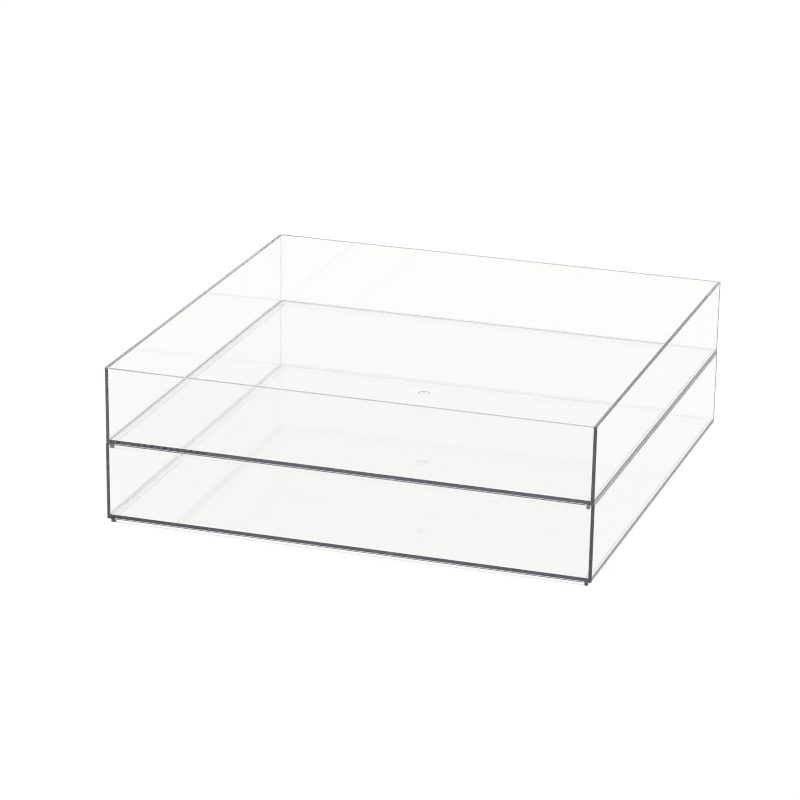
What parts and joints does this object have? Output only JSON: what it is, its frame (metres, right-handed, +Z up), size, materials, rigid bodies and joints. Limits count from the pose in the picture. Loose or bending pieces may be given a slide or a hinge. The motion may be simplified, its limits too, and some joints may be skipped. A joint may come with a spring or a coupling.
{
  "type": "stackable craft storage tray",
  "caption": "Stack of clear, square, shallow open trays; each lifts off, and its foot rib drops inside the rim of the tray below.",
  "frame": {"origin": "centre of the footprint, on the surface that the lower tray stands on", "axes": "+X to the right, +Y to the back, +Z up"},
  "size_m": [0.32, 0.32, 0.1036],
  "materials": {
    "clear_plastic": "clear, polished, with dark violet-grey edges"
  },
  "bodies": {
    "lower_tray": {"lower_tray": "clear_plastic"},
    "upper_tray": {"upper_tray": "clear_plastic"}
  },
  "joints": [
    {"name": "upper_tray_lift", "type": "slide", "parent": "lower_tray", "child": "upper_tray", "axis": [0, 0, 1], "range_m": [0, 0.1]}
  ]
}
